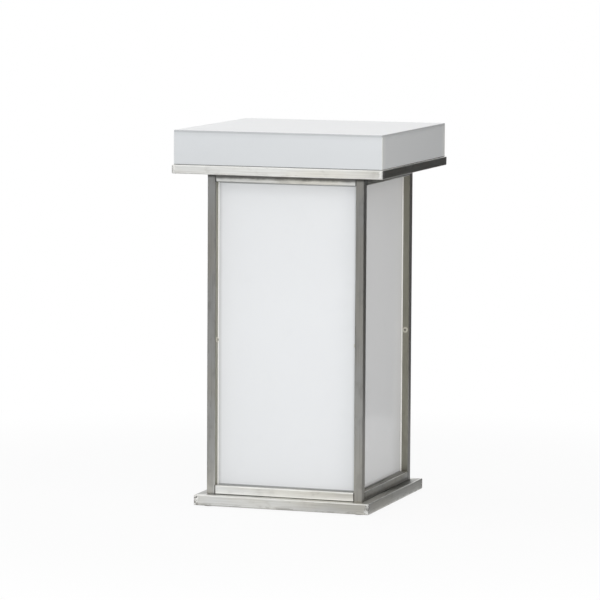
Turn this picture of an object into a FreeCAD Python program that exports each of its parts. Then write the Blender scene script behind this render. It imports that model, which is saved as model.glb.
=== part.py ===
"""Illuminated cocktail table, in millimetres, with +Z up.

A steel base frame carries a square column of posts and rails with opal panels between them. A tray of
mitred tube rests loose on the column, and an opal acrylic box rests on the tray as the table top. A light
mast stands inside the column. The origin is the middle of the footprint, on the floor.
"""
import FreeCAD, Part
import math
import os
import re

import Sketcher

# Driving sizes: alias, value in mm (counts are plain numbers), meaning
SIZES = [
    ("top_width", 600, "side of the square acrylic box"),
    ("box_height", 93.5, "height of the acrylic box with its top sheet"),
    ("top_sheet", 6, "thickness of the top sheet"),
    ("side_sheet", 6, "thickness of the box sides"),
    ("sheet_corner", 2, "upright corner radius of the top sheet"),
    ("sheet_edge", 0.8, "polished edge radius of the acrylic box"),
    ("seal_thickness", 1.5, "thickness of the light seal under the box"),
    ("seal_inset", 0.7, "how far the seal stays behind the face of the box"),
    ("rim_step", 4, "how far the tray stands out beyond the acrylic box"),
    ("tray_tube", 25, "side of the tray's square tube"),
    ("cross_spacing", 300, "distance between the centre lines of the cross tubes"),
    ("tray_floor_sheet", 2, "thickness of the tray floor"),
    ("tray_floor_gap", 2, "gap between the tray floor and the corner locators"),
    ("light_inset", 15, "light opening of the tray floor inside the posts' inner faces"),
    ("tray_stop_height", 22, "depth of the stops below the tray"),
    ("locator_leg", 20, "leg of a corner locator"),
    ("locator_sheet", 3, "thickness of a corner locator"),
    ("locator_height", 15, "height of a corner locator"),
    ("locator_play", 1, "gap between a corner locator and the box side"),
    ("column_width", 455, "side of the square column, over the posts"),
    ("column_height", 897, "height of the column, base to tray"),
    ("post_tube", 25, "side of the square tube of posts and rails"),
    ("tube_wall", 1.5, "wall of all the frame tubes"),
    ("tube_corner", 3, "outer corner radius of all the frame tubes"),
    ("panel_sheet", 3, "thickness of a column panel"),
    ("panel_gap", 1, "gap between a panel and its posts and top rail"),
    ("panel_corner", 4, "corner radius of a column panel"),
    ("stop_leg", 15, "leg of the corner angle behind the panels"),
    ("stop_sheet", 2, "thickness of the corner angles and stop bars"),
    ("stop_bar_height", 24, "height of a stop bar, half of it behind the panel"),
    ("retainer_flange", 16, "flange diameter of a panel retaining screw"),
    ("retainer_flange_sheet", 1.2, "flange thickness of a panel retaining screw"),
    ("retainer_head", 9, "head diameter of a panel retaining screw"),
    ("retainer_head_height", 2.4, "head height of a panel retaining screw"),
    ("retainer_socket", 4.5, "socket diameter of a panel retaining screw"),
    ("base_width", 510, "side of the square base frame"),
    ("base_bearing", 17.5, "how far the base tube reaches inside the posts, under the floor plate"),
    ("base_height", 30, "height of the base tube"),
    ("vent_diameter", 3, "diameter of the vent hole in the front base rail"),
    ("vent_inset", 7, "vent hole from the left end and the top of the base frame"),
    ("foot_diameter", 40, "diameter of a foot pad"),
    ("foot_height", 3, "thickness of a foot pad"),
    ("foot_edge", 0.8, "edge radius of a foot pad"),
    ("bush_bore", 9, "bore of the cable bush"),
    ("bush_wall", 2.5, "wall of the cable bush"),
    ("bush_flange", 20, "diameter of the bush flange"),
    ("bush_flange_sheet", 2.5, "thickness of the bush flange"),
    ("bush_reach", 4, "how far the bush passes the inner face of the rail"),
    ("hole_play", 0.3, "gap around a bush, a grommet, a lead or a screw shank"),
    ("floor_sheet", 2, "thickness of the floor plate"),
    ("floor_gap", 0.5, "gap between the floor plate and the panel stops"),
    ("floor_screw_spacing", 260, "distance between the two plate screws of a side"),
    ("grommet_place", 150, "grommet behind the middle of the floor plate"),
    ("grommet_bore", 9, "bore of the floor grommet"),
    ("grommet_wall", 2, "wall of the floor grommet in its hole"),
    ("grommet_lip", 2.5, "width of the grommet's lips"),
    ("grommet_lip_sheet", 2, "thickness of a grommet lip"),
    ("screw_shank", 4, "diameter of the machine screws"),
    ("screw_head", 8, "head diameter of the machine screws"),
    ("screw_head_height", 2.6, "head height of the machine screws"),
    ("screw_head_edge", 1.2, "edge radius of the screw heads"),
    ("screw_grip", 5, "length of a screw beyond the sheets that it clamps"),
    ("mast_tube", 40, "side of the square light mast"),
    ("mast_wall", 2, "wall of the light mast"),
    ("mast_corner", 2.5, "corner radius of the light mast"),
    ("mast_height", 820, "length of the light mast"),
    ("mast_foot_width", 100, "side of the square mast foot"),
    ("mast_foot_sheet", 4, "thickness of the mast foot"),
    ("mast_foot_corner", 8, "corner radius of the mast foot"),
    ("mast_foot_hole", 74, "hole spacing of the mast foot"),
    ("head_width", 120, "side of the square plate on the mast"),
    ("head_sheet", 3, "thickness of the plate on the mast"),
    ("head_corner", 6, "corner radius of the plate on the mast"),
    ("head_spigot", 15, "depth of the plate's spigot in the mast"),
    ("head_hole", 96, "hole spacing of the upper light board"),
    ("board_width", 110, "side of the square upper light board"),
    ("board_sheet", 1.6, "thickness of the upper light board"),
    ("board_chip_pitch", 24, "distance between chips on the upper board"),
    ("board_chip_rows", 4, "rows and columns of chips on the upper board"),
    ("strip_width", 12, "width of a light strip"),
    ("strip_sheet", 1.2, "thickness of a light strip"),
    ("strip_length", 750, "length of a light strip"),
    ("strip_start", 45, "lower end of a light strip above the mast foot"),
    ("chip_side", 5, "side of a light chip"),
    ("chip_height", 1.4, "height of a light chip"),
    ("chip_count", 24, "chips on each light strip"),
    ("driver_place", 115, "driver to the right of the middle"),
    ("driver_length", 170, "length of the driver case without its end caps"),
    ("driver_width", 62, "width of the driver case"),
    ("driver_height", 36, "height of the driver case"),
    ("driver_edge", 4, "edge radius along the top of the driver case"),
    ("driver_flange", 11, "width of each mounting flange of the driver"),
    ("driver_flange_sheet", 3, "thickness of the mounting flanges"),
    ("driver_hole", 130, "hole spacing along the flanges"),
    ("driver_cap_sheet", 4, "thickness of a driver end cap"),
    ("driver_gland", 12, "diameter of the lead gland on an end cap"),
    ("driver_gland_length", 8, "length of the lead gland on an end cap"),
    ("terminal_place", 38, "terminal block to the right of the middle"),
    ("terminal_length", 42, "length of the terminal block"),
    ("terminal_width", 22, "width of the terminal block"),
    ("terminal_height", 24, "height of the terminal block"),
    ("terminal_hole", 18, "screw spacing of the terminal block"),
    ("terminal_way", 7, "diameter of a lead way in the terminal block"),
    ("terminal_way_depth", 7, "depth of a lead way in the terminal block"),
    ("lead_diameter", 6, "diameter of the inner leads"),
    ("lead_height", 12, "centre line of the leads above the floor plate"),
    ("lead_bend", 25, "bend radius of the leads at their centre line"),
    ("lead_reach", 150, "distance of the leads' side runs from the middle"),
    ("clip_width", 10, "width of a lead clip along the lead"),
    ("clip_wall", 3, "wall of a lead clip over the lead"),
    ("clip_tab", 10, "length of a lead clip's screw tab"),
    ("clip_tab_sheet", 3, "thickness of a lead clip's screw tab"),
    ("clip_place", 58, "lead clip to the right of the middle"),
]

# Places worked out from the driving sizes
PLACES = {
    "base_top": "foot_height + base_height",
    "base_inner": "post_inner - base_bearing",
    "base_rail_width": "base_width / 2 - base_inner",
    "column_top": "base_top + column_height",
    "post_inner": "column_width / 2 - post_tube",
    "retainer_line": "(post_inner + panel_sheet + column_width / 2) / 2",
    "retainer_level": "column_top / 2",
    "opening_under": "base_top + post_tube",
    "opening_top": "column_top - post_tube",
    "tray_width": "top_width + 2 * rim_step",
    "tray_top": "column_top + tray_tube",
    "tray_inner": "tray_width / 2 - tray_tube",
    "box_under": "tray_top + seal_thickness",
    "box_top": "box_under + box_height",
    "box_inner": "top_width / 2 - side_sheet",
    "seal_outer": "top_width / 2 - seal_inset",
    "locator_outer": "box_inner - locator_play",
    "tray_floor_edge": "locator_outer - locator_sheet - tray_floor_gap",
    "light_edge": "post_inner - light_inset",
    "floor_top": "base_top + floor_sheet",
    "floor_edge": "post_inner - stop_sheet - floor_gap",
    "floor_screw_line": "(base_inner + floor_edge) / 2",
    "screw_hole": "screw_shank + 2 * hole_play",
    "bush_level": "foot_height + base_height / 2",
    "bush_outer": "bush_bore + 2 * bush_wall",
    "grommet_outer": "grommet_bore + 2 * grommet_wall",
    "mast_under": "floor_top + mast_foot_sheet",
    "mast_top": "mast_under + mast_height",
    "head_top": "mast_top + head_sheet",
    "board_top": "head_top + board_sheet",
    "strip_face": "mast_tube / 2 + strip_sheet",
    "strip_under": "mast_under + strip_start",
    "chip_pitch": "strip_length / chip_count",
    "board_chip_span": "board_chip_pitch * (board_chip_rows - 1)",
    "driver_flange_line": "driver_width / 2 + driver_flange / 2",
    "driver_end": "driver_length / 2 + driver_cap_sheet",
    "gland_end": "driver_end + driver_gland_length",
    "lead_level": "floor_top + lead_height",
    "clip_block": "lead_diameter + 2 * clip_wall",
    "clip_screw_line": "lead_reach - clip_block / 2 - clip_tab / 2",
}

SIDES = {"front": 0, "right": 90, "rear": 180, "left": 270}
CORNERS = {"front_left": 0, "front_right": 90, "rear_right": 180, "rear_left": 270}
UP = FreeCAD.Vector(0, 0, 1)

doc = FreeCAD.newDocument("illuminated_cocktail_table")
sheet = doc.addObject("Spreadsheet::Sheet", "Sizes")
for row, (alias, value, meaning) in enumerate(SIZES, start=1):
    sheet.set(f"A{row}", meaning)
    sheet.set(f"B{row}", str(value))
    sheet.setAlias(f"B{row}", alias)
doc.recompute()

ALIASES = {alias for alias, value, meaning in SIZES}
nodes = {}


def formula(text):
    """Spell out the named places and the sheet's cells in an expression."""
    def spell(match):
        word = match.group(0)
        if word in PLACES:
            return f"({formula(PLACES[word])})"
        return f"Sizes.{word}" if word in ALIASES else word
    return re.sub(r"[A-Za-z_]\w*", spell, text)


def number(text):
    """Present value of an expression."""
    return float(sheet.evalExpression(formula(text)))


def bind(thing, path, text):
    """Bind one property to the sheet."""
    thing.setExpression(path, formula(text))


def new_body(label, turn=0):
    """Body of one piece, drawn for the front and turned about the upright axis."""
    body = doc.addObject("PartDesign::Body", label)
    body.Label = label
    body.Placement = FreeCAD.Placement(FreeCAD.Vector(), FreeCAD.Rotation(UP, turn))
    nodes[label] = body
    return body


def new_sketch(body, plane, offset="0"):
    """Sketch on one of the body's own planes: XY looks up, XZ looks forward (-Y), YZ looks right."""
    sketch = body.newObject("Sketcher::SketchObject", f"{body.Name}_sketch")
    support = next(item for item in body.Origin.OriginFeatures if item.Role == f"{plane}_Plane")
    sketch.AttachmentSupport = [(support, "")]
    sketch.MapMode = "FlatFace"
    bind(sketch, "AttachmentOffset.Base.z", offset)
    sketch.Visibility = False
    return sketch


def constrain(sketch, kind, *places, size=None):
    """Add one constraint and bind its size."""
    if size is None:
        sketch.addConstraint(Sketcher.Constraint(kind, *places))
        return
    index = sketch.addConstraint(Sketcher.Constraint(kind, *places, number(size)))
    sketch.setExpression(f"Constraints[{index}]", formula(size))


def hold_x(sketch, item, end, x):
    """Hold one point on the vertical axis, geometry -2, or at a distance from the origin, point 1 of -1."""
    if x == "0":
        constrain(sketch, "PointOnObject", item, end, -2)
    else:
        constrain(sketch, "DistanceX", -1, 1, item, end, size=x)


def hold_y(sketch, item, end, y):
    """Hold one point on the horizontal axis, geometry -1, or at a distance from the origin."""
    if y == "0":
        constrain(sketch, "PointOnObject", item, end, -1)
    else:
        constrain(sketch, "DistanceY", -1, 1, item, end, size=y)


def polygon(sketch, corners):
    """Closed outline with each corner held at its own place."""
    points = [FreeCAD.Vector(number(x), number(y), 0) for x, y in corners]
    first = sketch.GeometryCount
    for start, end in zip(points, points[1:] + points[:1]):
        sketch.addGeometry(Part.LineSegment(start, end))
    for step, (x, y) in enumerate(corners):
        line = first + step
        following = first + (step + 1) % len(corners)
        constrain(sketch, "Coincident", line, 2, following, 1)
        hold_x(sketch, line, 1, x)
        hold_y(sketch, line, 1, y)


def rectangle(sketch, west, east, south, north):
    """Rectangle between four lines."""
    polygon(sketch, [(west, south), (east, south), (east, north), (west, north)])


def rounded_rectangle(sketch, west, east, south, north, radius):
    """Rectangle between four lines, with one corner radius."""
    x0, x1, y0, y1, r = (number(text) for text in (west, east, south, north, radius))
    turns = [(x1 - r, y0 + r, -90), (x1 - r, y1 - r, 0), (x0 + r, y1 - r, 90), (x0 + r, y0 + r, 180)]
    runs = [((x0 + r, y0), (x1 - r, y0)), ((x1, y0 + r), (x1, y1 - r)),
            ((x1 - r, y1), (x0 + r, y1)), ((x0, y1 - r), (x0, y0 + r))]
    first = sketch.GeometryCount
    for (start, end), (cx, cy, angle) in zip(runs, turns):
        sketch.addGeometry(Part.LineSegment(FreeCAD.Vector(*start, 0), FreeCAD.Vector(*end, 0)))
        circle = Part.Circle(FreeCAD.Vector(cx, cy, 0), UP, r)
        sketch.addGeometry(Part.ArcOfCircle(circle, math.radians(angle), math.radians(angle + 90)))
    ring = list(range(first, first + 8))
    south_line, south_east, east_line, north_east, north_line, north_west, west_line, south_west = ring
    for item, following in zip(ring, ring[1:] + ring[:1]):
        constrain(sketch, "Tangent", item, 2, following, 1)
    constrain(sketch, "Horizontal", south_line)
    constrain(sketch, "Horizontal", north_line)
    constrain(sketch, "Vertical", east_line)
    constrain(sketch, "Vertical", west_line)
    for arc in (north_east, north_west, south_west):
        constrain(sketch, "Equal", south_east, arc)
    constrain(sketch, "Radius", south_east, size=radius)
    hold_y(sketch, south_line, 1, south)
    hold_x(sketch, east_line, 1, east)
    hold_y(sketch, north_line, 1, north)
    hold_x(sketch, west_line, 1, west)


def tube_profile(sketch, west, east, south, north, wall, radius):
    """Section of a rounded tube: outer and inner outline."""
    rounded_rectangle(sketch, west, east, south, north, radius)
    rounded_rectangle(sketch, f"{west} + {wall}", f"{east} - {wall}", f"{south} + {wall}",
                      f"{north} - {wall}", f"{radius} - {wall}")


def circles(sketch, centres, diameter):
    """Circles of one size."""
    for x, y in centres:
        centre = FreeCAD.Vector(number(x), number(y), 0)
        item = sketch.addGeometry(Part.Circle(centre, UP, number(diameter) / 2))
        constrain(sketch, "Diameter", item, size=diameter)
        hold_x(sketch, item, 3, x)
        hold_y(sketch, item, 3, y)


def pad(body, sketch, length, symmetric=False, down=False):
    """Extrude a sketch, to one side or half to each side."""
    feature = body.newObject("PartDesign::Pad", f"{body.Name}_pad")
    feature.Profile = sketch
    feature.SideType = "Symmetric" if symmetric else "One side"
    feature.Reversed = down
    bind(feature, "Length", length)
    doc.recompute()
    return feature


def pocket(body, sketch, depth=None):
    """Cut a sketch against its normal, or right through to both sides."""
    feature = body.newObject("PartDesign::Pocket", f"{body.Name}_pocket")
    feature.Profile = sketch
    before = body.Shape.Volume
    if depth is None:
        feature.SideType = "Symmetric"
        feature.Type = "ThroughAll"
    else:
        bind(feature, "Length", depth)
    doc.recompute()
    if feature.Shape.Volume >= before:
        raise RuntimeError(f"{feature.Name} cuts nothing")
    return feature


def fillet(body, feature, chosen, radius):
    """Round the edges that the test chooses."""
    names = [f"Edge{index}" for index, edge in enumerate(feature.Shape.Edges, start=1) if chosen(edge)]
    rounding = body.newObject("PartDesign::Fillet", f"{body.Name}_fillet")
    rounding.Base = (feature, names)
    bind(rounding, "Radius", radius)
    doc.recompute()
    return rounding


def polar_pattern(body, features, count=4):
    """Repeat features around the upright axis."""
    axis = next(item for item in body.Origin.OriginFeatures if item.Role == "Z_Axis")
    pattern = body.newObject("PartDesign::PolarPattern", f"{body.Name}_pattern")
    pattern.Originals = features
    pattern.Axis = (axis, [""])
    pattern.Angle = 360
    pattern.Occurrences = count
    body.Tip = pattern
    doc.recompute()
    return pattern


def drill(body, centres, diameter, level, depth):
    """Round holes, down from a level."""
    sketch = new_sketch(body, "XY", level)
    circles(sketch, centres, diameter)
    return pocket(body, sketch, depth)


def direction(edge):
    """Unit vector along a straight edge, or a null vector."""
    if not isinstance(edge.Curve, Part.Line):
        return FreeCAD.Vector()
    return edge.tangentAt(edge.FirstParameter)


def runs_along_x(edge):
    return abs(direction(edge).x) > 0.999


def stands_on_face(edge):
    """Test for the upright edges on the outer face of the front box side."""
    return abs(direction(edge).z) > 0.999 and edge.BoundBox.YMin < -number("box_inner + side_sheet / 2")


def same(one, other):
    """Whether two lengths are equal but for rounding."""
    return math.isclose(one, other, abs_tol=1e-6)


def lies_at(level):
    """Test for edges that lie in one horizontal plane."""
    height = number(level)
    return lambda edge: same(edge.BoundBox.ZMin, height) and same(edge.BoundBox.ZMax, height)


def circle_at(level, diameter):
    """Test for round edges of one size that lie in one horizontal plane."""
    flat, radius = lies_at(level), number(diameter) / 2
    return lambda edge: (flat(edge) and isinstance(edge.Curve, Part.Circle)
                         and same(edge.Curve.Radius, radius))


def screws(label, *rows):
    """Group of pan-head screws: places, level of the heads' seat, thickness of the clamped sheets."""
    body = new_body(label)
    for centres, seat, sheets in rows:
        shanks = new_sketch(body, "XY", seat)
        circles(shanks, centres, "screw_shank")
        pad(body, shanks, f"{sheets} + screw_grip", down=True)
        heads = new_sketch(body, "XY", seat)
        circles(heads, centres, "screw_head")
        top = pad(body, heads, "screw_head_height")
        fillet(body, top, circle_at(f"{seat} + screw_head_height", "screw_head"), "screw_head_edge")


def mitred_rail(label, turn, width, depth, under, height):
    """One side of a square frame of rectangular tube, cut at 45 degrees at both ends."""
    body = new_body(label, turn)
    plan = new_sketch(body, "XY", under)
    polygon(plan, [(f"-{width} / 2", f"-{width} / 2"), (f"{width} / 2", f"-{width} / 2"),
                   (f"{width} / 2 - {depth}", f"{depth} - {width} / 2"),
                   (f"{depth} - {width} / 2", f"{depth} - {width} / 2")])
    bar = pad(body, plan, height)
    fillet(body, bar, runs_along_x, "tube_corner")
    hollow = new_sketch(body, "YZ")
    rounded_rectangle(hollow, f"tube_wall - {width} / 2", f"{depth} - {width} / 2 - tube_wall",
                      f"{under} + tube_wall", f"{under} + {height} - tube_wall", "tube_corner - tube_wall")
    pocket(body, hollow)
    return body


def grid(body, first, steps, around=0):
    """Repeat one chip along the given axes of the body, then around the upright axis."""
    pattern = body.newObject("PartDesign::MultiTransform", f"{body.Name}_grid")
    pattern.Originals = [first]
    axes = {item.Role: item for item in body.Origin.OriginFeatures}
    moves = []
    for axis, length, count in steps:
        move = body.newObject("PartDesign::LinearPattern", f"{body.Name}_row")
        move.Direction = (axes[axis], [""])
        bind(move, "Length", length)
        bind(move, "Occurrences", count)
        moves.append(move)
    if around:
        move = body.newObject("PartDesign::PolarPattern", f"{body.Name}_ring")
        move.Axis = (axes["Z_Axis"], [""])
        move.Angle = 360
        move.Occurrences = around
        moves.append(move)
    pattern.Transformations = moves
    body.Tip = pattern
    doc.recompute()


def lead(label, corners):
    """Round lead at one level: straight runs along the axes, with equal bends to the left between them."""
    body = new_body(label)
    route = new_sketch(body, "XY", "lead_level")
    points = [FreeCAD.Vector(number(x), number(y), 0) for x, y in corners]
    bend = number("lead_bend")
    begin = points[0]
    straights, bends = [], []
    for before, corner, after in zip(points, points[1:], points[2:]):
        inward = (corner - before).normalize()
        onward = (after - corner).normalize()
        inside = onward - inward
        leave, meet = corner - inward * bend, corner + onward * bend
        middle = corner + inside * bend - FreeCAD.Vector(inside).normalize() * bend
        straights.append(route.addGeometry(Part.LineSegment(begin, leave)))
        bends.append(route.addGeometry(Part.Arc(leave, middle, meet)))
        begin = meet
    straights.append(route.addGeometry(Part.LineSegment(begin, points[-1])))
    for run, (x, y), step in zip(straights, corners, (b - a for a, b in zip(points, points[1:]))):
        if abs(step.y) > abs(step.x):
            constrain(route, "Vertical", run)
            hold_x(route, run, 1, x)
        else:
            constrain(route, "Horizontal", run)
            hold_y(route, run, 1, y)
    for run, arc, following in zip(straights, bends, straights[1:]):
        constrain(route, "Tangent", run, 2, arc, 1)
        constrain(route, "Tangent", arc, 2, following, 1)
        constrain(route, "Radius", arc, size="lead_bend")
    hold_y(route, straights[0], 1, corners[0][1])
    if abs(points[-1].y - points[-2].y) > abs(points[-1].x - points[-2].x):
        hold_y(route, straights[-1], 2, corners[-1][1])
    else:
        hold_x(route, straights[-1], 2, corners[-1][0])
    section = new_sketch(body, "XZ", f"-({corners[0][1]})")
    circles(section, [(corners[0][0], "lead_level")], "lead_diameter")
    doc.recompute()
    pipe = body.newObject("PartDesign::AdditivePipe", f"{label}_pipe")
    pipe.Profile = section
    pipe.Spine = (route, [f"Edge{index + 1}" for index in range(len(route.Shape.Edges))])
    doc.recompute()


def square_of(spacing):
    """Four places at the corners of a square around the middle."""
    near, far = f"-{spacing} / 2", f"{spacing} / 2"
    return [(near, near), (far, near), (far, far), (near, far)]


# Screw places shared by the pieces that the screws pass through
SIDE_SCREWS = [(x, "-(floor_screw_line)") for x in ("-floor_screw_spacing / 2", "floor_screw_spacing / 2")]
FLOOR_SCREWS = SIDE_SCREWS + [
    ("floor_screw_line", "-floor_screw_spacing / 2"), ("floor_screw_line", "floor_screw_spacing / 2"),
    ("floor_screw_spacing / 2", "floor_screw_line"), ("-floor_screw_spacing / 2", "floor_screw_line"),
    ("-(floor_screw_line)", "floor_screw_spacing / 2"), ("-(floor_screw_line)", "-floor_screw_spacing / 2")]
MAST_FOOT_SCREWS = square_of("mast_foot_hole")
BOARD_SCREWS = square_of("head_hole")
DRIVER_SCREWS = [(f"driver_place {x} driver_flange_line", f"{y} driver_hole / 2")
                 for x in "+-" for y in "+-"]
TERMINAL_SCREWS = [(f"terminal_place {x} terminal_hole / 2", "lead_reach") for x in "+-"]
CLIP_SCREWS = [("clip_place", "-(clip_screw_line)")]
RETAINER = [("-(retainer_line)", "retainer_level")]

# Foot pads under the corners of the base frame
feet = new_body("foot_pads")
foot_plan = new_sketch(feet, "XY")
foot_place = "base_rail_width / 2 - base_width / 2"
circles(foot_plan, [(foot_place, foot_place)], "foot_diameter")
foot = pad(feet, foot_plan, "foot_height")
foot_rounding = fillet(feet, foot, lies_at("0"), "foot_edge")
polar_pattern(feet, [foot, foot_rounding])

# Base frame of flat-laid tube, with the floor plate screw holes, a vent hole and the cable way
for side, turn in SIDES.items():
    rail = mitred_rail(f"base_rail_{side}", turn, "base_width", "base_rail_width", "foot_height",
                       "base_height")
    drill(rail, SIDE_SCREWS, "screw_hole", "base_top", "2 * tube_wall")
    if side == "front":
        vent = new_sketch(rail, "XZ", "base_width / 2")
        circles(vent, [("vent_inset - base_width / 2", "base_top - vent_inset")], "vent_diameter")
        pocket(rail, vent, "2 * tube_wall")
    if side == "rear":
        cable_way = new_sketch(rail, "XZ")
        circles(cable_way, [("0", "bush_level")], "bush_outer + 2 * hole_play")
        pocket(rail, cable_way)

# Cable bush through the rear base rail
bush = new_body("cable_bush", SIDES["rear"])
sleeve = new_sketch(bush, "XZ", "base_inner - bush_reach")
circles(sleeve, [("0", "bush_level")], "bush_outer")
circles(sleeve, [("0", "bush_level")], "bush_bore")
pad(bush, sleeve, "base_width / 2 - base_inner + bush_reach")
flange = new_sketch(bush, "XZ", "base_width / 2")
circles(flange, [("0", "bush_level")], "bush_flange")
circles(flange, [("0", "bush_level")], "bush_bore")
pad(bush, flange, "bush_flange_sheet")

# Column: posts with welded caps, rails, and the angles and bars that back the panels
post_near, post_far = "-column_width / 2", "post_tube - column_width / 2"
for corner, turn in CORNERS.items():
    post = new_body(f"post_{corner}", turn)
    section = new_sketch(post, "XY", "base_top")
    tube_profile(section, post_near, post_far, post_near, post_far, "tube_wall", "tube_corner")
    pad(post, section, "column_height")
    cap = new_sketch(post, "XY", "column_top")
    rounded_rectangle(cap, post_near, post_far, post_near, post_far, "tube_corner")
    pad(post, cap, "tube_wall", down=True)
    for plane, face in (("YZ", "-(post_inner)"), ("XZ", "post_inner + 2 * tube_wall")):
        retainer_hole = new_sketch(post, plane, face)
        circles(retainer_hole, RETAINER, "screw_hole")
        pocket(post, retainer_hole, "2 * tube_wall")

for level, under in (("bottom", "base_top"), ("top", "opening_top")):
    for side, turn in SIDES.items():
        rail = new_body(f"{level}_rail_{side}", turn)
        section = new_sketch(rail, "YZ")
        tube_profile(section, post_near, post_far, under, f"{under} + post_tube", "tube_wall", "tube_corner")
        pad(rail, section, "2 * post_inner", symmetric=True)

for corner, turn in CORNERS.items():
    angle = new_body(f"panel_angle_{corner}", turn)
    section = new_sketch(angle, "XY", "base_top")
    polygon(section, [("-(post_inner)", "-(post_inner)"), ("stop_leg - post_inner", "-(post_inner)"),
                      ("stop_leg - post_inner", "stop_sheet - post_inner"),
                      ("stop_sheet - post_inner", "stop_sheet - post_inner"),
                      ("stop_sheet - post_inner", "stop_leg - post_inner"),
                      ("-(post_inner)", "stop_leg - post_inner")])
    pad(angle, section, "column_height")

bars = new_body("panel_stop_bars")
bar_faces = new_sketch(bars, "XZ", "post_inner - stop_sheet")
for edge_level in ("opening_under", "opening_top"):
    rectangle(bar_faces, "stop_leg - post_inner", "post_inner - stop_leg",
              f"{edge_level} - stop_bar_height / 2", f"{edge_level} + stop_bar_height / 2")
polar_pattern(bars, [pad(bars, bar_faces, "stop_sheet")])

for side, turn in SIDES.items():
    panel = new_body(f"panel_{side}", turn)
    face = new_sketch(panel, "XZ", "post_inner")
    rounded_rectangle(face, "panel_gap - post_inner", "post_inner - panel_gap", "opening_under",
                      "opening_top - panel_gap", "panel_corner")
    pad(panel, face, "panel_sheet")

# Retaining screws with flanges on the inner faces of the posts, in front of the panels
retainers = new_body("panel_retainers")
turned = []
for face, step, right in (("-(post_inner)", "+", False), ("post_inner", "-", True)):
    shank = new_sketch(retainers, "YZ", face)
    circles(shank, RETAINER, "screw_shank")
    turned.append(pad(retainers, shank, "tube_wall + screw_grip", down=not right))
    flange = new_sketch(retainers, "YZ", face)
    circles(flange, RETAINER, "retainer_flange")
    turned.append(pad(retainers, flange, "retainer_flange_sheet", down=right))
    head = new_sketch(retainers, "YZ", f"{face} {step} retainer_flange_sheet")
    circles(head, RETAINER, "retainer_head")
    circles(head, RETAINER, "retainer_socket")
    turned.append(pad(retainers, head, "retainer_head_height", down=right))
polar_pattern(retainers, turned)

# Floor plate inside the column, with its screws and grommet
floor_plate = new_body("floor_plate")
plate_plan = new_sketch(floor_plate, "XY", "base_top")
rectangle(plate_plan, "-(floor_edge)", "floor_edge", "-(floor_edge)", "floor_edge")
pad(floor_plate, plate_plan, "floor_sheet")
drill(floor_plate, FLOOR_SCREWS + MAST_FOOT_SCREWS + DRIVER_SCREWS + TERMINAL_SCREWS + CLIP_SCREWS,
      "screw_hole", "floor_top", "floor_sheet")
drill(floor_plate, [("0", "grommet_place")], "grommet_outer + 2 * hole_play", "floor_top", "floor_sheet")
screws("floor_plate_screws", (FLOOR_SCREWS, "floor_top", "floor_sheet"),
       (MAST_FOOT_SCREWS, "mast_under", "mast_foot_sheet + floor_sheet"))

grommet = new_body("floor_grommet")
lower_lip = new_sketch(grommet, "XY", "base_top - grommet_lip_sheet")
circles(lower_lip, [("0", "grommet_place")], "grommet_outer + 2 * grommet_lip")
pad(grommet, lower_lip, "grommet_lip_sheet")
neck = new_sketch(grommet, "XY", "base_top")
circles(neck, [("0", "grommet_place")], "grommet_outer")
pad(grommet, neck, "floor_sheet")
upper_lip = new_sketch(grommet, "XY", "floor_top")
circles(upper_lip, [("0", "grommet_place")], "grommet_outer + 2 * grommet_lip")
pad(grommet, upper_lip, "grommet_lip_sheet")
drill(grommet, [("0", "grommet_place")], "grommet_bore", "floor_top + grommet_lip_sheet",
      "floor_sheet + 2 * grommet_lip_sheet")

# Light mast on its foot, with a plate on top that carries the upward light board
mast_foot = new_body("mast_foot")
foot_outline = new_sketch(mast_foot, "XY", "floor_top")
rounded_rectangle(foot_outline, "-mast_foot_width / 2", "mast_foot_width / 2", "-mast_foot_width / 2",
                  "mast_foot_width / 2", "mast_foot_corner")
pad(mast_foot, foot_outline, "mast_foot_sheet")
drill(mast_foot, MAST_FOOT_SCREWS, "screw_hole", "mast_under", "mast_foot_sheet")

mast = new_body("light_mast")
mast_section = new_sketch(mast, "XY", "mast_under")
tube_profile(mast_section, "-mast_tube / 2", "mast_tube / 2", "-mast_tube / 2", "mast_tube / 2",
             "mast_wall", "mast_corner")
pad(mast, mast_section, "mast_height")
lead_way = new_sketch(mast, "XZ", "mast_tube / 2")
circles(lead_way, [("0", "lead_level")], "lead_diameter + 2 * hole_play")
pocket(mast, lead_way, "2 * mast_wall")

mast_head = new_body("mast_head")
head_outline = new_sketch(mast_head, "XY", "mast_top")
rounded_rectangle(head_outline, "-head_width / 2", "head_width / 2", "-head_width / 2",
                  "head_width / 2", "head_corner")
pad(mast_head, head_outline, "head_sheet")
spigot = new_sketch(mast_head, "XY", "mast_top")
spigot_edge = "mast_tube / 2 - mast_wall - hole_play"
rectangle(spigot, f"-({spigot_edge})", spigot_edge, f"-({spigot_edge})", spigot_edge)
pad(mast_head, spigot, "head_spigot", down=True)
drill(mast_head, BOARD_SCREWS, "screw_hole", "head_top", "head_sheet")

board = new_body("upper_light_board")
board_outline = new_sketch(board, "XY", "head_top")
rounded_rectangle(board_outline, "-board_width / 2", "board_width / 2", "-board_width / 2",
                  "board_width / 2", "head_corner")
pad(board, board_outline, "board_sheet")
drill(board, BOARD_SCREWS, "screw_hole", "board_top", "board_sheet")
screws("light_board_screws", (BOARD_SCREWS, "board_top", "board_sheet + head_sheet"))

strips = new_body("light_strips")
strip_outline = new_sketch(strips, "XZ", "mast_tube / 2")
rectangle(strip_outline, "-strip_width / 2", "strip_width / 2", "strip_under", "strip_under + strip_length")
polar_pattern(strips, [pad(strips, strip_outline, "strip_sheet")])


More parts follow.
